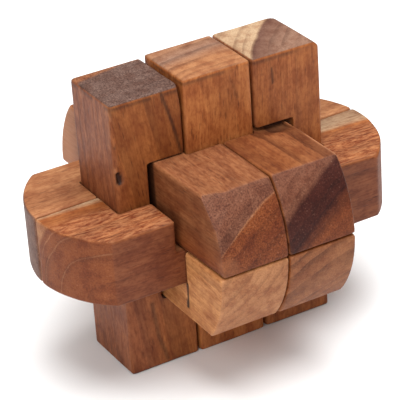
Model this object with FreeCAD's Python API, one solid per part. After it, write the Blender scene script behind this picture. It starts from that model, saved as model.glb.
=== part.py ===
"""Nine-stick wooden burr puzzle: three uprights, four cross sticks and two long sticks that interlock.

+X runs along the row of uprights, +Y from the front to the back, +Z up. The origin is on the table,
in the middle of the puzzle. All sizes are in millimetres.
"""

import FreeCAD
import Part

import os

# Driving dimensions
STICK = 20.0  # nominal thickness of every stick
SLIDING_GAP = 0.3  # air round the key stick, and beside every face that has to slide apart
SEAM_GAP = 0.4  # air between two sticks that lie side by side
ROUNDING_RADIUS = 1.5 * STICK  # the ends of each bundle are sanded to one arc of this radius
EASED_EDGE = 0.6  # radius of the sanded edges
MIDDLE = 40.0  # height of the puzzle's middle

# The uprights stand in a row and have flat ends. They are hand-cut, so each has its own size:
# limits along X and Y, and height.
LEFT_UPRIGHT = ((-31.2, -11.0), (-10.0, 11.0), 79.2)
KEY_UPRIGHT = ((-10.2, 9.7), (-10.2, 10.0), 80.4)
RIGHT_UPRIGHT = ((10.5, 30.8), (-10.0, 10.6), 80.1)
LEDGE_BOTTOM = MIDDLE - STICK  # lower end of the notches for the bundle of cross sticks
LEDGE_TOP = 60.4  # upper end of those notches
UPPER_SLACK = 2.0  # above the middle, each notch is this much too wide for the bundle
LOWER_SLACK = 0.6  # and below the middle by this much

# The cross sticks are stacked two by two and point at the front and the back.
CROSS_LENGTH = 82.6
CROSS_THICKNESS = STICK - 0.2
LOWER_CROSS_BOTTOM = LEDGE_BOTTOM + 0.2
UPPER_CROSS_BOTTOM = MIDDLE + 0.3

# The long sticks lie side by side and point to the left and the right.
LONG_LENGTH = 5.0 * STICK
LONG_HEIGHT = STICK - 1.0
LONG_FACE = STICK + 2.7  # distance of the pair's outer faces from the middle of the puzzle
SEAM_SKEW = 4.0  # the cut between the pair runs askew: this far off the middle at the right end

# Limits that follow
ROW = (LEFT_UPRIGHT[0][0] - SLIDING_GAP, RIGHT_UPRIGHT[0][1] + SLIDING_GAP)
ROW_DEPTH = (KEY_UPRIGHT[1][0] - SLIDING_GAP, LEFT_UPRIGHT[1][1] + SLIDING_GAP)
CHANNEL = [(low - SLIDING_GAP, high + SLIDING_GAP) for low, high in KEY_UPRIGHT[:2]]
UPPER_NOTCH = STICK + UPPER_SLACK
LOWER_NOTCH = STICK + LOWER_SLACK
LONG_BOTTOM = MIDDLE - LONG_HEIGHT / 2
PAST = LONG_LENGTH  # distance that clears every stick, for cuts that run right through

ORIGIN = FreeCAD.Vector(0, 0, 0)


def block(x, y, z):
    """Box between two limits along each axis."""
    corner = FreeCAD.Vector(x[0], y[0], z[0])
    return Part.makeBox(x[1] - x[0], y[1] - y[0], z[1] - z[0], corner)


def one_side(side, near, far):
    """Limits between two distances from the middle, on side -1 or 1."""
    return sorted((side * near, side * far))


def eased(blank):
    """The blank with all its edges sanded round."""
    return blank.makeFillet(EASED_EDGE, blank.Edges)


def round_ended_plan(length):
    """Prism along Z whose plan is as long as given along X, with a half circle at each end."""
    straight = length / 2 - ROUNDING_RADIUS
    points = {}
    for end in (-1, 1):
        for side in (-1, 1):
            points[end, side] = FreeCAD.Vector(end * straight, side * ROUNDING_RADIUS, -PAST)
    tips = {end: FreeCAD.Vector(end * length / 2, 0, -PAST) for end in (-1, 1)}
    outline = [
        Part.Arc(points[1, -1], tips[1], points[1, 1]).toShape(),
        Part.LineSegment(points[1, 1], points[-1, 1]).toShape(),
        Part.Arc(points[-1, 1], tips[-1], points[-1, -1]).toShape(),
        Part.LineSegment(points[-1, -1], points[1, -1]).toShape(),
    ]
    return Part.Face(Part.Wire(outline)).extrude(FreeCAD.Vector(0, 0, 2 * PAST))


def upright(limits):
    """Square upright without notches, which is all that the key is."""
    return eased(block(limits[0], limits[1], (0, limits[2])))


def outer_upright(side, limits):
    """Upright notched on its inner side for the bundle of cross sticks."""
    lower = block(one_side(side, 0, LOWER_NOTCH), (-PAST, PAST), (LEDGE_BOTTOM, LEDGE_TOP))
    upper = block(one_side(side, 0, UPPER_NOTCH), (-PAST, PAST), (MIDDLE, LEDGE_TOP))
    return upright(limits).cut(lower.fuse(upper))


def cross_stick(side, bottom):
    """Cross stick beside the middle, with half of the key's channel in its inner side."""
    blank = block(
        one_side(side, SEAM_GAP / 2, STICK),
        (-CROSS_LENGTH / 2, CROSS_LENGTH / 2),
        (bottom, bottom + CROSS_THICKNESS),
    )
    # The bundle is rounded in the YZ plane, so the rounded plan is turned X to Y and Y to Z.
    rounding = round_ended_plan(CROSS_LENGTH)
    rounding.rotate(ORIGIN, FreeCAD.Vector(1, 1, 1), 120)
    rounding.translate(FreeCAD.Vector(0, 0, MIDDLE))
    return eased(blank.common(rounding)).cut(block(*CHANNEL, (0, PAST)))


def upper_cross_stick(side):
    """Rests on the long sticks and slides out to the front or the back once the key is out."""
    return cross_stick(side, UPPER_CROSS_BOTTOM)


def lower_cross_stick(side):
    """Rests on the ledges of the uprights and carries the long sticks in two saddles."""
    stick = cross_stick(side, LOWER_CROSS_BOTTOM)
    outer = LONG_FACE + SLIDING_GAP
    for saddle in ((-outer, ROW_DEPTH[0] + SLIDING_GAP), (ROW_DEPTH[1] - SLIDING_GAP, outer)):
        stick = stick.cut(block((-PAST, PAST), saddle, (LONG_BOTTOM, PAST)))
    return stick


def long_stick(side):
    """Long stick in front of the uprights for side -1, behind them for side 1."""
    half = LONG_LENGTH / 2
    seam = side * SEAM_GAP / 2
    plan = [
        FreeCAD.Vector(-half, seam, LONG_BOTTOM),
        FreeCAD.Vector(half, SEAM_SKEW + seam, LONG_BOTTOM),
        FreeCAD.Vector(half, side * LONG_FACE, LONG_BOTTOM),
        FreeCAD.Vector(-half, side * LONG_FACE, LONG_BOTTOM),
    ]
    face = Part.Face(Part.makePolygon(plan + plan[:1]))
    blank = face.extrude(FreeCAD.Vector(0, 0, LONG_HEIGHT))
    stick = eased(blank.common(round_ended_plan(LONG_LENGTH)))
    stick = stick.cut(block(ROW, ROW_DEPTH, (0, PAST)))
    return stick.cut(block((-UPPER_NOTCH, UPPER_NOTCH), (-PAST, PAST), (MIDDLE, PAST)))


def sticks():
    """Every stick of the puzzle by name, in its place."""
    named = {
        "key_upright": upright(KEY_UPRIGHT),
        "left_upright": outer_upright(-1, LEFT_UPRIGHT),
        "right_upright": outer_upright(1, RIGHT_UPRIGHT),
        "front_long_stick": long_stick(-1),
        "back_long_stick": long_stick(1),
    }
    for name, side in (("left", -1), ("right", 1)):
        named[f"{name}_upper_cross_stick"] = upper_cross_stick(side)
        named[f"{name}_lower_cross_stick"] = lower_cross_stick(side)
    return named


os.makedirs("parts", exist_ok=True)
for name, solid in sticks().items():
    solid.exportStep(f"parts/{name}.step")
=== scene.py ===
"""Looks of the nine-stick wooden burr puzzle: worn hardwood sticks on a pale studio floor.

Lengths in this file are in millimetres, in the model's own frame, unless a name says otherwise.
"""

import math
from types import SimpleNamespace

import bmesh
import bpy
import numpy as np
from mathutils import Matrix, Vector


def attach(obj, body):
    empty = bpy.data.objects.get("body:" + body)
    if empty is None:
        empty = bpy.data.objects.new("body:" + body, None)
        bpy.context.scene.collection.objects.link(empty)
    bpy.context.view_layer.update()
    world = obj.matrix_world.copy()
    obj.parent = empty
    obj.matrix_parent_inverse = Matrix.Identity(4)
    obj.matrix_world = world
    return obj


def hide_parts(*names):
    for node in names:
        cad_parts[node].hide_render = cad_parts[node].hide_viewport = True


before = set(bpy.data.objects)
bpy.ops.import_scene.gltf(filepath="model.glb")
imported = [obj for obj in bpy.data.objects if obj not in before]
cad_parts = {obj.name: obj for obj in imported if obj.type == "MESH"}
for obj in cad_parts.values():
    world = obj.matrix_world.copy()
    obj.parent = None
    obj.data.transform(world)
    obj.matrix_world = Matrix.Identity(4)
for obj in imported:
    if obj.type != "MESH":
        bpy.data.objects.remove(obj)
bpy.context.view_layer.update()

MM = 0.001  # metres in a millimetre
MIDDLE = 40.0  # height of the middle of the puzzle

# Shape of the worn sticks
VOXEL = 0.4  # size of the even quads that each stick is divided into
CRISP_PASSES = 1  # smoothing passes where an edge is still crisp
WORN_PASSES = 5  # and where it is worn
FACE_WAVE = 0.09  # height of the slow waves in the hand-sanded faces
SAW_DEPTH = 0.06  # depth of the saw marks inside the notches
TORN_DEPTH = 0.8  # depth of the torn grain
FLOOR_GAP = 0.02  # keeps the feet's undersides out of the floor's own surface

# Which model axes lie across the stick, and which lies along it, for a stick along X, Y or Z
AXES = {"X": (1, 2, 0), "Y": (0, 2, 1), "Z": (0, 1, 2)}


# ---------------------------------------------------------------- numbers


def linear(red, green, blue):
    """Linear colour for a colour as the eye reads it, 0 to 255."""
    parts = [c / 255 for c in (red, green, blue)]
    return tuple(c / 12.92 if c <= 0.04045 else ((c + 0.055) / 1.055) ** 2.4 for c in parts) + (1.0,)


def lattice_noise(points, seed):
    """Smooth random field from 0 to 1 that changes over a distance of 1."""
    table = np.random.RandomState(seed).rand(4096)
    cell = np.floor(points).astype(np.int64)
    part = points - cell
    part = part * part * (3 - 2 * part)
    total = np.zeros(len(points))
    for corner in np.ndindex(2, 2, 2):
        at = cell + corner
        index = (at[:, 0] * 73856093) ^ (at[:, 1] * 19349663) ^ (at[:, 2] * 83492791)
        weight = np.prod(np.where(np.array(corner) == 1, part, 1 - part), axis=1)
        total += table[index & 4095] * weight
    return total


def smooth_step(low, high, value):
    """0 below low, 1 above high, smooth between."""
    t = np.clip((value - low) / (high - low), 0, 1)
    return t * t * (3 - 2 * t)


def distance_to_path(points, path):
    """Distance of each point from the line through the path's corners."""
    best = np.full(len(points), 1e9)
    for start, end in zip(path[:-1], path[1:]):
        start = np.array(start, float)
        run = np.array(end, float) - start
        along = np.clip((points - start) @ run / (run @ run), 0, 1)
        best = np.minimum(best, np.linalg.norm(points - start - along[:, None] * run, axis=1))
    return best


# ---------------------------------------------------------------- the sticks' shapes


def even_copy(node):
    """Copy of a CAD stick, divided into even quads so that it can be worn and chipped."""
    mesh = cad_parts[node].data.copy()
    welded = bmesh.new()
    welded.from_mesh(mesh)
    bmesh.ops.remove_doubles(welded, verts=welded.verts, dist=1e-6)
    welded.to_mesh(mesh)
    welded.free()
    piece = bpy.data.objects.new(f"{node}_worn", mesh)
    bpy.context.collection.objects.link(piece)
    even = piece.modifiers.new("even", "REMESH")
    even.mode = "VOXEL"
    even.voxel_size = VOXEL * MM
    seen = piece.evaluated_get(bpy.context.evaluated_depsgraph_get())
    piece.data = bpy.data.meshes.new_from_object(seen)
    piece.modifiers.clear()
    return piece


class Shape:
    """A stick's surface as arrays, while it is being worn."""

    def __init__(self, piece, along, seed):
        self.mesh = piece.data
        self.points = self.read("vertices", "co", 3) / MM
        self.pairs = self.read("edges", "vertices", 2).astype(int)
        self.neighbours = np.bincount(self.pairs.ravel(), minlength=len(self.points))
        self.low, self.high = self.points.min(axis=0), self.points.max(axis=0)
        self.along = AXES[along][2]
        self.seed = seed
        self.marks = {}
        self.new_normals()

    def read(self, items, name, width):
        data = getattr(self.mesh, items)
        values = np.zeros(len(data) * width, dtype=np.int32 if name == "vertices" else np.float32)
        data.foreach_get(name, values)
        return values.reshape(-1, width).astype(float)

    def new_normals(self):
        self.mesh.vertices.foreach_set("co", (self.points * MM).astype(np.float32).ravel())
        self.mesh.update()
        self.normals = self.read("vertices", "normal", 3)

    def field(self, size, seed, stretch=1.0):
        """Random field over the surface, for patches of that size, longer along the grain."""
        scale = np.full(3, 1.0 / size)
        scale[self.along] /= stretch
        return lattice_noise(self.points * scale + 50.0, self.seed * 31 + seed)

    def smoothed(self, points, passes):
        for _ in range(passes):
            total = np.zeros_like(points)
            for axis in range(3):
                first, second = self.pairs[:, 0], self.pairs[:, 1]
                total[:, axis] += np.bincount(first, points[second, axis], len(points))
                total[:, axis] += np.bincount(second, points[first, axis], len(points))
            points = 0.5 * points + 0.5 * total / self.neighbours[:, None]
        return points

    def shave(self, point, normal):
        """Takes off what lies beyond a plane, as sanding or a chip does."""
        normal = np.array(normal, float) / np.linalg.norm(normal)
        beyond = np.clip((self.points - np.array(point, float)) @ normal, 0, None)
        self.points -= beyond[:, None] * normal

    def wear_edges(self):
        """Rounds the edges, more in some places than in others, and keeps how much as a mark."""
        crisp = self.smoothed(self.points, CRISP_PASSES)
        worn = self.smoothed(crisp, WORN_PASSES - CRISP_PASSES)
        share = smooth_step(0.45, 0.85, self.field(9.0, 1, 1.5))[:, None]
        rounded = crisp * (1 - share) + worn * share
        self.marks["wear"] = np.clip(((self.points - worn) * self.normals).sum(axis=1) / VOXEL, -1, 1)
        self.points = rounded
        self.new_normals()

    def push(self, depth):
        self.points -= self.normals * depth[:, None]

    def wave_faces(self):
        self.push(FACE_WAVE * (2 * self.field(14.0, 2, 1.6) - 1))

    def inside_notch(self):
        """1 on faces that the saw left inside the blank, 0 on its outer faces and round ends."""
        inset = np.minimum(self.points - self.low, self.high - self.points)
        inset[:, self.along] = np.minimum(inset[:, self.along], 0.6)
        across = np.delete(inset, self.along, axis=1).min(axis=1)
        facing = np.abs(self.normals[:, self.along])
        far = np.abs(self.points[:, self.along] - (self.low + self.high)[self.along] / 2)
        reach = (self.high - self.low)[self.along] / 2
        end = smooth_step(reach - 12.5, reach - 10.5, far) * smooth_step(0.3, 0.6, facing)
        return smooth_step(0.8, 1.4, across) * (1 - end)

    def saw_marks(self):
        inside = self.inside_notch()
        ridges = 2 * self.field(0.9, 3, 6.0) - 1
        self.push(SAW_DEPTH * inside * ridges)
        self.marks["sawn"] = inside

    def tear(self, mask):
        """Roughens a face where the saw or the plane tore the grain out."""
        coarse = self.field(2.6, 4, 5.0)
        fine = self.field(1.1, 5, 4.0)
        depth = smooth_step(0.35, 0.9, coarse) * 0.7 + fine * 0.3
        self.push(TORN_DEPTH * depth * mask)
        self.marks["torn"] = np.clip(mask, 0, 1)

    def groove(self, path, width, depth):
        """A narrow line let into the surface, with painted shade inside it: a saw kerf, a crack or a
        shadowed slit.
        """
        near = 1 - smooth_step(width * 0.4, width, distance_to_path(self.points, path))
        self.push(depth * near)
        # Painted shade inside the groove.
        self.darken(smooth_step(0.0, 0.3, near))

    def stain(self, path, width, amount):
        """A dark line or spot of the grain, level with the surface."""
        self.darken(amount * (1 - smooth_step(width * 0.3, width, distance_to_path(self.points, path))))

    def darken(self, amount):
        self.marks["dark"] = np.maximum(self.marks.get("dark", 0), amount)

    def lighten(self, amount):
        self.marks["pale"] = np.maximum(self.marks.get("pale", 0), amount)

    def finish(self):
        self.points[:, 2] = np.maximum(self.points[:, 2], FLOOR_GAP)
        self.new_normals()
        for name in ("wear", "sawn", "torn", "dark", "pale"):
            values = self.marks.get(name, np.zeros(len(self.points)))
            layer = self.mesh.attributes.new(name, "FLOAT", "POINT")
            layer.data.foreach_set("value", values.astype(np.float32))
        self.mesh.polygons.foreach_set("use_smooth", np.ones(len(self.mesh.polygons), dtype=bool))


# ---------------------------------------------------------------- the wood


class Tree:
    """A material's node tree, written a line at a time."""

    def __init__(self, name):
        self.material = bpy.data.materials.new(name)
        self.material.use_nodes = True
        self.tree = self.material.node_tree
        self.tree.nodes.clear()

    def feed(self, socket, value):
        if isinstance(value, bpy.types.NodeSocket):
            self.tree.links.new(value, socket)
        else:
            socket.default_value = value

    def add(self, kind, inputs, **settings):
        node = self.tree.nodes.new(f"ShaderNode{kind}")
        for name, value in settings.items():
            setattr(node, name, value)
        for name, value in inputs.items():
            self.feed(node.inputs[name], value)
        return node

    def math(self, operation, *values):
        return self.add("Math", dict(enumerate(values)), operation=operation).outputs[0]

    def combine(self, x, y, z):
        return self.add("CombineXYZ", {"X": x, "Y": y, "Z": z}).outputs[0]

    def stretch(self, vector, across, along):
        """The grain's coordinates, scaled for a texture with details of those sizes."""
        scale = (1 / across, 1 / across, 1 / along)
        return self.add("VectorMath", {0: vector, 1: scale}, operation="MULTIPLY").outputs[0]

    def noise(self, vector, seed, detail=2.0, output="Fac", roughness=0.5):
        inputs = {"Vector": vector, "W": seed, "Scale": 1.0, "Detail": detail, "Roughness": roughness}
        return self.add("TexNoise", inputs, noise_dimensions="4D").outputs[output]

    def step(self, value, low, high, to_low=0.0, to_high=1.0):
        inputs = {"Value": value, 1: low, 2: high, 3: to_low, 4: to_high}
        return self.add("MapRange", inputs, interpolation_type="SMOOTHSTEP").outputs[0]

    def ramp(self, factor, stops):
        node = self.add("ValToRGB", {"Fac": factor})
        elements = node.color_ramp.elements
        while len(elements) < len(stops):
            elements.new(0.5)
        for element, (position, colour) in zip(elements, stops):
            element.position = position
            element.color = colour
        return node.outputs["Color"]

    def mix(self, factor, first, second, blend="MIX"):
        settings = {"data_type": "RGBA", "blend_type": blend}
        return self.add("Mix", {0: factor, 6: first, 7: second}, **settings).outputs[2]

    def mark(self, name):
        return self.add("Attribute", {}, attribute_name=name).outputs["Fac"]


def grain_frame(tree, look):
    """Coordinates about the tree's pith, and how squarely the surface cuts the grain."""
    first, second, along = AXES[look["along"]]
    source = tree.add("TexCoord", {})
    here = tree.add("VectorMath", {0: source.outputs["Object"], "Scale": 1 / MM}, operation="SCALE")
    place = tree.add("SeparateXYZ", {0: here.outputs[0]}).outputs
    facing = tree.add("SeparateXYZ", {0: source.outputs["Normal"]}).outputs[along]
    run = tree.math("SUBTRACT", place[along], look["start"])
    sides = []
    for axis, pith, lean in zip((first, second), look["pith"], look["lean"]):
        drift = tree.math("MULTIPLY_ADD", run, lean, pith)
        sides.append(tree.math("SUBTRACT", place[axis], drift))
    grain = tree.combine(sides[0], sides[1], run)
    return grain, tree.math("ABSOLUTE", facing)


def bent_grain(tree, grain, look):
    """The grain's coordinates with the slow waves and small ripples that real boards have."""
    seed = look["seed"]
    for size, length, amount, shift in ((24.0, 90.0, look["wave"], 0.0), (6.0, 30.0, 0.7, 3.0)):
        wave = tree.noise(tree.stretch(grain, size, length), seed + shift, 1.0, "Color")
        centred = tree.add("VectorMath", {0: wave, 1: (0.5, 0.5, 0.5)}, operation="SUBTRACT")
        moved = {0: centred.outputs[0], 1: (2 * amount, 2 * amount, 0.0), 2: grain}
        grain = tree.add("VectorMath", moved, operation="MULTIPLY_ADD").outputs[0]
    return grain


def ring_lines(tree, grain, radius, look):
    """1 on the thin dark line that closes each year's growth, fading away before it."""
    seed = look["seed"]
    wander = tree.noise(tree.combine(tree.math("DIVIDE", radius, 11.0), 0.0, 0.0), seed + 5, 1.0)
    years = tree.math("DIVIDE", radius, look["year"])
    years = tree.math("MULTIPLY_ADD", wander, 3.0, years)
    season = tree.math("FRACT", years)
    late = tree.step(season, 0.35, 0.93)
    close = tree.step(season, 0.95, 1.0, 1.0, 0.0)
    line = tree.math("MULTIPLY", late, close)
    fading = tree.noise(tree.stretch(grain, 9.0, 60.0), seed + 7, 1.0)
    return tree.math("MULTIPLY", line, tree.step(fading, 0.3, 0.7, 0.25, 1.0))


def zone_colour(tree, radius, zones):
    """The colour met at that distance from the pith."""
    nearest, farthest = zones[0][0], zones[-1][0]
    place = tree.add("MapRange", {"Value": radius, 1: nearest, 2: farthest}).outputs[0]
    stops = [((stop - nearest) / (farthest - nearest), linear(*colour)) for stop, colour in zones]
    return tree.ramp(place, stops)


def wood_textures(tree, look):
    """Everything that varies through the wood: rings, fibres, pores, streaks and patches."""
    seed = look["seed"]
    straight, square = grain_frame(tree, look)
    grain = bent_grain(tree, straight, look)
    flat = tree.add("VectorMath", {0: grain, 1: (1.0, 1.0, 0.0)}, operation="MULTIPLY").outputs[0]
    seen = SimpleNamespace()
    seen.radius = tree.add("VectorMath", {0: flat}, operation="LENGTH").outputs["Value"]
    seen.line = ring_lines(tree, grain, seen.radius, look)
    seen.endness = tree.step(square, 0.4, 0.72)
    seen.fibre = tree.noise(tree.stretch(grain, 0.55, 14.0), seed + 11, 3.0, roughness=0.65)
    seen.streak = tree.noise(tree.stretch(grain, 2.2, 45.0), seed + 13, 2.0)
    seen.blotch = tree.noise(tree.stretch(straight, 13.0, 22.0), seed + 17, 2.0)
    seen.speck = tree.noise(tree.stretch(straight, 0.45, 0.45), seed + 19, 2.0, roughness=0.75)
    seen.tuft = tree.noise(tree.stretch(straight, 0.7, 3.2), seed + 23, 4.0, roughness=0.75)
    seen.mottle = tree.noise(tree.stretch(straight, 0.75, 1.5), seed + 29, 2.0, roughness=0.7)
    seen.cloud = tree.noise(tree.stretch(straight, 3.2, 6.0), seed + 31, 3.0, roughness=0.6)
    cell = {"Vector": tree.stretch(grain, 0.62, 5.5), "Scale": 1.0}
    gap = tree.add("TexVoronoi", cell).outputs["Distance"]
    seen.pore = tree.math("MULTIPLY", tree.step(gap, 0.12, 0.3, 1.0, 0.0), tree.step(seen.streak, 0.4, 0.62))
    return seen


def side_colour(tree, look, seen):
    """Colour of a face cut along the grain."""
    side = zone_colour(tree, seen.radius, look["side"])
    side_line = tree.math("MULTIPLY", seen.line, look["side_line"])
    side = tree.mix(side_line, side, linear(120, 78, 52), "MULTIPLY")
    banding = tree.step(seen.streak, 0.35, 0.75, 0.0, look["streak"])
    side = tree.mix(banding, side, linear(190, 150, 125), "MULTIPLY")
    side = tree.mix(tree.step(seen.fibre, 0.38, 0.72, 0.0, 0.45), side, linear(196, 160, 136), "MULTIPLY")
    side = tree.mix(tree.step(seen.mottle, 0.4, 0.68, 0.0, 0.42), side, linear(180, 142, 116), "MULTIPLY")
    return tree.mix(tree.math("MULTIPLY", seen.pore, 0.5), side, linear(92, 54, 36), "MULTIPLY")


def end_colour(tree, look, seen):
    """Colour of a face cut across the grain, with open pores as specks."""
    end = zone_colour(tree, seen.radius, look["end"])
    end_line = tree.math("MULTIPLY", seen.line, look["end_line"])
    end = tree.mix(end_line, end, linear(120, 86, 70), "MULTIPLY")
    dark_speck = tree.step(seen.speck, 0.42, 0.66, 0.0, look["speck"])
    end = tree.mix(dark_speck, end, linear(140, 110, 96), "MULTIPLY")
    light_speck = tree.step(seen.speck, 0.42, 0.22, 0.0, 0.3 * look["speck"])
    return tree.mix(light_speck, end, linear(226, 190, 164))


def weathered(tree, colour, look, seen, torn):
    """The wood's colour with patches, torn grain, saw marks, worn edges and the stick's own marks, with
    painted shade among the dark ones.
    """
    colour = tree.mix(tree.step(seen.blotch, 0.35, 0.7, 0.0, 0.4), colour, linear(206, 182, 170), "MULTIPLY")
    colour = tree.mix(tree.step(seen.cloud, 0.4, 0.66, 0.0, 0.55), colour, linear(190, 150, 128), "MULTIPLY")
    hollow = tree.mix(1.0, colour, linear(196, 146, 116), "MULTIPLY")
    raised = tree.mix(0.22, colour, linear(232, 170, 122))
    ragged = tree.mix(tree.step(seen.tuft, 0.34, 0.66), hollow, raised)
    colour = tree.mix(torn, colour, ragged)
    colour = tree.mix(tree.math("MULTIPLY", tree.mark("sawn"), 0.3), colour, linear(168, 112, 72))
    edge = tree.step(tree.mark("wear"), 0.1, 0.7, 0.0, look["edge"][0])
    colour = tree.mix(edge, colour, linear(*look["edge"][1]))
    colour = tree.mix(tree.math("MULTIPLY", tree.mark("pale"), 0.75), colour, linear(*look["pale"]))
    # The dark mark holds stains and grain lines, and painted shade in grooves, in the notch and in a hollow
    # corner.
    return tree.mix(tree.math("MULTIPLY", tree.mark("dark"), 0.9), colour, linear(30, 14, 9))


def roughness(tree, seen, torn):
    rough = tree.step(seen.fibre, 0.2, 0.8, 0.42, 0.6)
    rough = tree.math("MULTIPLY_ADD", torn, 0.25, rough)
    return tree.math("MULTIPLY_ADD", seen.endness, 0.06, rough)


def relief(tree, seen, torn):
    """Normal of the fine relief: fibres, pores, specks, torn tufts and ring lines."""
    height = tree.math("MULTIPLY_ADD", seen.fibre, 0.5, tree.math("MULTIPLY", seen.pore, -0.6))
    height = tree.math("MULTIPLY_ADD", tree.math("MULTIPLY", seen.speck, seen.endness), 0.5, height)
    height = tree.math("MULTIPLY_ADD", tree.math("MULTIPLY", seen.tuft, torn), 3.0, height)
    height = tree.math("MULTIPLY_ADD", seen.line, -0.25, height)
    return tree.add("Bump", {"Height": height, "Strength": 0.6, "Distance": 0.12 * MM}).outputs[0]


def wood(node, look):
    """Wood cut from a tree whose pith lies where the look says, so that all faces agree."""
    tree = Tree(f"{node}_wood")
    seen = wood_textures(tree, look)
    torn = tree.mark("torn")
    colour = tree.mix(seen.endness, side_colour(tree, look, seen), end_colour(tree, look, seen))
    inputs = {
        "Base Color": weathered(tree, colour, look, seen, torn),
        "Roughness": roughness(tree, seen, torn),
        "Normal": relief(tree, seen, torn),
        "Specular IOR Level": 0.2,
    }
    shader = tree.add("BsdfPrincipled", inputs)
    tree.add("OutputMaterial", {"Surface": shader.outputs[0]})
    return tree.material


# Colours of the wood, as the eye reads them, 0 to 255, from the darkest heartwood to the palest sapwood
UMBER = (65, 25, 15)
CHOCOLATE = (85, 50, 35)
CHESTNUT = (130, 70, 35)
AUBURN = (125, 65, 30)
GREY_RUSSET = (120, 75, 55)
TAUPE = (110, 85, 75)
PLUM = (115, 80, 65)
WALNUT = (130, 75, 45)
CLAY = (145, 110, 90)
CINNAMON = (145, 92, 57)
OCHRE = (157, 95, 48)
DULL_ORANGE = (150, 90, 55)
FAWN = (155, 102, 68)
ORANGE = (167, 103, 54)
COPPER = (172, 106, 58)
BUFF = (172, 118, 78)
ROSE_TAN = (180, 127, 86)
AMBER = (188, 119, 66)
HONEY = (197, 139, 87)
PEACH = (190, 130, 90)
CREAM = (188, 158, 125)
PALE_PEACH = (215, 170, 125)


def bright_ring(radius, wood, line):
    """Stops for one thin bright ring in wood of one colour."""
    return [(radius - 0.25, wood), (radius, line), (radius + 0.25, wood)]


FRONT_LONG_RINGS = [stop for radius in (15.0, 21.0, 23.6) for stop in bright_ring(radius, CHESTNUT, FAWN)]

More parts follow.
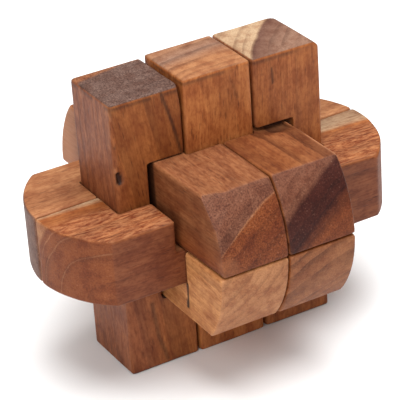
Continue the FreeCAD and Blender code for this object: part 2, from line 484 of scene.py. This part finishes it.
# Each stick: the pith's place across the stick at "start" along it, how the pith drifts along the
# stick, the width of a year's growth, and the colours met at each distance from the pith.
LOOKS = {
    "left_upright": {
        "along": "Z", "pith": (-14.3, -37.0), "start": 80.0, "lean": (-0.12, 0.02),
        "year": 3.1, "wave": 1.2, "seed": 1.0, "side_line": 0.45, "end_line": 0.15,
        "streak": 0.3, "speck": 0.8, "edge": (0.55, CHOCOLATE), "pale": PEACH,
        "side": [(26, OCHRE), (32, OCHRE), (36, DULL_ORANGE), (54, DULL_ORANGE)],
        "end": [(20, TAUPE), (46.4, TAUPE), (47.6, FAWN), (54, BUFF)],
    },
    "key_upright": {
        "along": "Z", "pith": (4.0, -52.0), "start": 80.0, "lean": (0.02, 0.05),
        "year": 3.4, "wave": 2.2, "seed": 2.0, "side_line": 0.35, "end_line": 0.45,
        "streak": 0.3, "speck": 0.25, "edge": (0.5, WALNUT), "pale": PALE_PEACH,
        "side": [(38, AMBER), (66, AMBER)],
        "end": [(40, BUFF), (50, BUFF), (56, CLAY), (66, ROSE_TAN)],
    },
    "right_upright": {
        "along": "Z", "pith": (79.2, -51.3), "start": 80.0, "lean": (0.03, 0.0),
        "year": 3.4, "wave": 0.7, "seed": 3.0, "side_line": 0.45, "end_line": 0.35,
        "streak": 0.35, "speck": 0.3, "edge": (0.5, CHOCOLATE), "pale": PALE_PEACH,
        "side": [(60, COPPER), (79, COPPER), (82, PEACH)],
        "end": [(60, CLAY), (72, CLAY), (79.8, PLUM), (80.6, CREAM), (104, CREAM)],
    },
    "front_long_stick": {
        "along": "X", "pith": (-24.0, 31.0), "start": -44.0, "lean": (-0.033, 0.0),
        "year": 6.2, "wave": 0.8, "seed": 4.0, "side_line": 0.4, "end_line": 0.35,
        "streak": 0.3, "speck": 0.35, "edge": (0.3, PEACH), "pale": CREAM,
        "side": [(0, WALNUT), (17.6, WALNUT), (19, ORANGE), (28.6, ORANGE), (30, CREAM), (40, CREAM)],
        "end": [(0, CHESTNUT), *FRONT_LONG_RINGS, (24.9, CHESTNUT), (26, BUFF), (36, BUFF)],
    },
    "back_long_stick": {
        "along": "X", "pith": (26.0, -14.0), "start": -44.0, "lean": (0.02, 0.0),
        "year": 3.6, "wave": 2.0, "seed": 5.0, "side_line": 0.25, "end_line": 0.25,
        "streak": 0.35, "speck": 0.5, "edge": (0.3, PEACH), "pale": CREAM,
        "side": [(40, ROSE_TAN), (58, ROSE_TAN), (80, BUFF)],
        "end": [(40, PLUM), (80, PLUM)],
    },
    "left_upper_cross_stick": {
        "along": "Y", "pith": (19.8, 0.1), "start": -38.0, "lean": (0.0, 0.02),
        "year": 4.6, "wave": 1.0, "seed": 6.0, "side_line": 0.35, "end_line": 0.35,
        "streak": 0.3, "speck": 0.65, "edge": (0.3, PEACH), "pale": PEACH,
        "side": [(40, CHESTNUT), (58, CHESTNUT), (62, CINNAMON), (80, CINNAMON)],
        "end": [(40, AUBURN), (59.9, AUBURN), (60.15, FAWN), (60.45, GREY_RUSSET), (80, GREY_RUSSET)],
    },
    "right_upper_cross_stick": {
        "along": "Y", "pith": (40.0, 1.5), "start": -38.0, "lean": (0.0, 0.02),
        "year": 3.4, "wave": 1.0, "seed": 7.0, "side_line": 0.8, "end_line": 0.35,
        "streak": 0.35, "speck": 0.5, "edge": (0.3, PEACH), "pale": PEACH,
        "side": [(36, WALNUT), (50, WALNUT), (61, CINNAMON), (80, OCHRE)],
        "end": [(36, CHESTNUT), (51, AUBURN), (55.5, UMBER), (61, UMBER), (62.2, GREY_RUSSET),
                (80, GREY_RUSSET)],
    },
    "left_lower_cross_stick": {
        "along": "Y", "pith": (-58.0, 76.0), "start": -38.0, "lean": (0.03, 0.05),
        "year": 3.0, "wave": 1.4, "seed": 8.0, "side_line": 0.25, "end_line": 0.25,
        "streak": 0.2, "speck": 0.3, "edge": (0.3, PALE_PEACH), "pale": PALE_PEACH,
        "side": [(40, HONEY), (72, HONEY)],
        "end": [(40, BUFF), (76, BUFF)],
    },
    "right_lower_cross_stick": {
        "along": "Y", "pith": (38.0, -30.0), "start": -38.0, "lean": (0.0, 0.03),
        "year": 5.0, "wave": 1.2, "seed": 9.0, "side_line": 0.35, "end_line": 0.6,
        "streak": 0.3, "speck": 0.35, "edge": (0.3, PEACH), "pale": PEACH,
        "side": [(40, DULL_ORANGE), (80, OCHRE)],
        "end": [(40, CINNAMON), (80, CINNAMON)],
    },
}


def facing(shape, axis, sign):
    """1 where the surface faces that way along the axis, 0 where it faces elsewhere."""
    return smooth_step(0.5, 0.9, sign * shape.normals[:, axis])


def spot(shape, centre, reach):
    """1 at the centre, fading to 0 over the reach, with a ragged outline."""
    away = np.linalg.norm((shape.points - np.array(centre)) / np.array(reach), axis=1)
    return 1 - smooth_step(0.5, 1.0, away + 0.5 * (shape.field(1.6, 8) - 0.5))


def dark_line_below_top(shape):
    """A patchy dark line painted just under the sanded top of an upright."""
    below = shape.high[2] - shape.points[:, 2]
    line = smooth_step(0.5, 1.0, below) * (1 - smooth_step(1.2, 2.2, below))
    shape.darken(0.5 * line * smooth_step(0.2, 0.6, shape.field(3.0, 11)))


# ---------------------------------------------------------------- each stick's own wear


def wear_left_upright(shape):
    """Shaved corners, a small pit and chips along the front left edge, and three lines of dark grain."""
    dark_line_below_top(shape)
    shape.shave((-12.0, -10.0, 79.2), (1.0, -0.35, 0.12))
    shape.shave((-30.9, -10.0, 79.2), (-1.0, -1.0, 0.0))
    shape.groove([(-30.2, -10.0, 59.6), (-29.9, -10.0, 57.6)], 0.9, 1.0)
    shape.stain([(-16.5, -10.0, 78.5), (-14.0, -10.0, 70.0), (-12.0, -10.0, 61.0)], 0.7, 0.75)
    shape.stain([(-31.2, 4.6, 78.8), (-31.0, 5.4, 79.2)], 1.1, 0.6)
    shape.stain([(-23.9, -10.0, 19.6), (-22.6, -10.0, 9.0), (-20.4, -10.0, 1.5)], 0.9, 0.55)
    edge = distance_to_path(shape.points, [(-31.0, -10.0, 54.0), (-31.0, -10.0, 78.0)])
    chipped = 1 - smooth_step(0.3, 1.1, edge)
    chipped *= smooth_step(0.35, 0.7, shape.field(6.0, 12))
    shape.lighten(0.5 * chipped * smooth_step(0.55, 0.8, shape.field(1.3, 9)))
    shape.darken(0.6 * chipped * smooth_step(0.5, 0.8, shape.field(1.5, 10)))


def wear_key_upright(shape):
    """A shaved corner and a short line of dark grain."""
    dark_line_below_top(shape)
    shape.shave((-9.6, -10.2, 80.4), (-1.0, -0.8, 0.25))
    shape.stain([(4.0, -10.2, 76.0), (5.5, -10.2, 71.0)], 0.5, 0.3)


def wear_right_upright(shape):
    """Two shaved top corners and a short line of dark grain."""
    dark_line_below_top(shape)
    shape.shave((30.8, 0.0, 78.3), (1.0, 0.0, 0.95))
    shape.shave((27.3, 10.6, 80.1), (0.62, 0.78, 0.25))
    shape.stain([(16.2, -10.0, 76.0), (16.3, -10.0, 72.0)], 0.5, 0.8)


def wear_front_long_stick(shape):
    """Torn grain on the front of its top, and a dark patch at the right end."""
    torn = facing(shape, 2, 1) * smooth_step(48.6, 49.0, shape.points[:, 2])
    shape.tear(torn * (1 - smooth_step(-8.0, -4.0, shape.points[:, 1])))
    shape.shave((40.0, -22.7, 48.0), (0.25, -0.6, 1.0))
    shape.darken(0.4 * facing(shape, 1, -1) * spot(shape, (48.0, -15.0, 34.0), (5.0, 12.0, 8.0)))


def wear_left_upper_cross_stick(shape):
    """An outer side that runs askew, with painted shade where the upright's notch hides it, pale at the
    back.
    """
    points = shape.points
    points[:, 0] -= smooth_step(-10.0, -19.0, points[:, 0]) * (0.6 + 0.034 * points[:, 1])
    shape.shave((-20.0, -32.0, 60.1), (-0.25, -1.0, 0.8))
    shape.tear(0.35 * facing(shape, 2, 1))
    painted_notch_shade = smooth_step(-10.6, -9.6, points[:, 1]) * (1 - smooth_step(10.0, 12.0, points[:, 1]))
    # Painted shade: the outer side is painted nearly black inside the upright's notch.
    shape.darken(0.85 * painted_notch_shade * facing(shape, 0, -1))
    shape.lighten(0.7 * smooth_step(25.0, 38.0, shape.points[:, 1]) * facing(shape, 0, -1))
    shape.lighten(0.18 * spot(shape, (-18.0, -41.0, 42.5), (4.5, 3.0, 4.5)))
    close_seam(shape, -1)


def wear_left_lower_cross_stick(shape):
    """The kerf where the saw ran past the end of a saddle."""
    shape.groove([(-20.0, -23.0, 30.6), (-20.0, -22.6, 23.6)], 0.6, 0.35)


def wear_right_upper_cross_stick(shape):
    """A hollow back corner on its top with painted shade in it, and a pale, rubbed right edge."""
    points = shape.points
    low = smooth_step(5.0, 17.0, points[:, 0]) * smooth_step(-16.0, -11.0, points[:, 1])
    low *= facing(shape, 2, 1) * (1 - smooth_step(-9.0, -8.0, points[:, 1]))
    shape.push(1.2 * low)
    # Painted shade in the hollow corner under the right upright.
    shape.darken(0.6 * low)
    edge = [(20.0, -14.0, 60.1), (20.0, -33.0, 60.1)]
    along_edge = 1 - smooth_step(0.4, 1.2, distance_to_path(points, edge))
    shape.lighten(0.8 * along_edge * smooth_step(0.3, 0.6, shape.field(3.0, 9, 2.0)))
    close_seam(shape, 1)


def close_seam(shape, side):
    """The two upper cross sticks touch at the top, but for their front ends."""
    inner = facing(shape, 0, -side) * (1 - smooth_step(0.3, 0.6, np.abs(shape.points[:, 0])))
    inner *= smooth_step(-33.0, -26.0, shape.points[:, 1]) * smooth_step(48.0, 54.0, shape.points[:, 2])
    shape.points[:, 0] -= 0.17 * side * inner


SPECIAL_WEAR = {
    "left_upright": wear_left_upright,
    "key_upright": wear_key_upright,
    "right_upright": wear_right_upright,
    "front_long_stick": wear_front_long_stick,
    "left_upper_cross_stick": wear_left_upper_cross_stick,
    "left_lower_cross_stick": wear_left_lower_cross_stick,
    "right_upper_cross_stick": wear_right_upper_cross_stick,
}


def make_stick(node, look):
    """Replaces a CAD stick with its worn, textured copy, on the body that the stick belongs to."""
    piece = even_copy(node)
    shape = Shape(piece, look["along"], int(look["seed"]))
    SPECIAL_WEAR.get(node, lambda _: None)(shape)
    shape.wear_edges()
    shape.wave_faces()
    shape.saw_marks()
    shape.finish()
    piece.data.materials.clear()
    piece.data.materials.append(wood(node, look))
    body = "key" if node == "key_upright" else "locked_sticks"
    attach(piece, body)
    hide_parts(node)


# ---------------------------------------------------------------- floor, light and camera


def make_floor():
    bpy.ops.mesh.primitive_plane_add(size=6.0, location=(0, 0, 0))
    floor = bpy.context.object
    floor.name = "studio_floor"
    tree = Tree("studio_floor_paper")
    source = tree.add("TexCoord", {}).outputs["Object"]
    mottle = tree.noise(tree.stretch(source, 0.15, 0.15), 40.0, 3.0)
    colour = tree.mix(mottle, (0.90, 0.90, 0.90, 1.0), (0.93, 0.93, 0.925, 1.0))
    shader = tree.add("BsdfPrincipled", {"Base Color": colour, "Roughness": 0.9})
    tree.add("OutputMaterial", {"Surface": shader.outputs[0]})
    floor.data.materials.append(tree.material)


def add_softbox(name, place, size, power):
    """Square area light at a place in metres, turned to the middle of the puzzle."""
    light = bpy.data.lights.new(name, "AREA")
    light.shape = "SQUARE"
    light.size = size
    light.energy = power
    lamp = bpy.data.objects.new(name, light)
    lamp.location = place
    towards = Vector((0, 0, MIDDLE * MM)) - Vector(place)
    lamp.rotation_euler = towards.to_track_quat("-Z", "Y").to_euler()
    bpy.context.collection.objects.link(lamp)


def make_lights():
    add_softbox("overhead_softbox", (0.05, -0.15, 1.3), 1.1, 26.0)
    add_softbox("front_left_softbox", (-0.9, -0.8, 0.9), 0.8, 9.0)
    world = bpy.data.worlds.new("studio")
    world.use_nodes = True
    sky = world.node_tree.nodes["Background"]
    sky.inputs["Color"].default_value = (1.0, 1.0, 1.0, 1.0)
    sky.inputs["Strength"].default_value = 0.34
    bpy.context.scene.world = world
    bpy.context.scene.view_settings.view_transform = "Standard"


# The camera looks along a line to near the puzzle's middle; its frame is tilted a little.
AZIMUTH, ELEVATION, TILT = math.radians(-28.55), math.radians(28.28), math.radians(-4.01)
DISTANCE = 552.4
AIM_RIGHT, AIM_UP = -1.66, -1.32
FIELD_OF_VIEW = math.radians(10.99)


def make_camera():
    back = Vector((
        math.sin(AZIMUTH) * math.cos(ELEVATION),
        -math.cos(AZIMUTH) * math.cos(ELEVATION),
        math.sin(ELEVATION),
    ))
    level = Vector((math.cos(AZIMUTH), math.sin(AZIMUTH), 0))
    upright = back.cross(level)
    right = level * math.cos(TILT) + upright * math.sin(TILT)
    up = back.cross(right)
    camera = bpy.data.cameras.new("camera")
    camera.angle = FIELD_OF_VIEW
    holder = bpy.data.objects.new("camera", camera)
    place = Vector((0, 0, MIDDLE)) + back * DISTANCE + right * AIM_RIGHT + up * AIM_UP
    turn = Matrix((right, up, back)).transposed().to_4x4()
    holder.matrix_world = Matrix.Translation(place * MM) @ turn
    bpy.context.collection.objects.link(holder)
    bpy.context.scene.camera = holder


for node, look in LOOKS.items():
    make_stick(node, look)
make_floor()
make_lights()
make_camera()
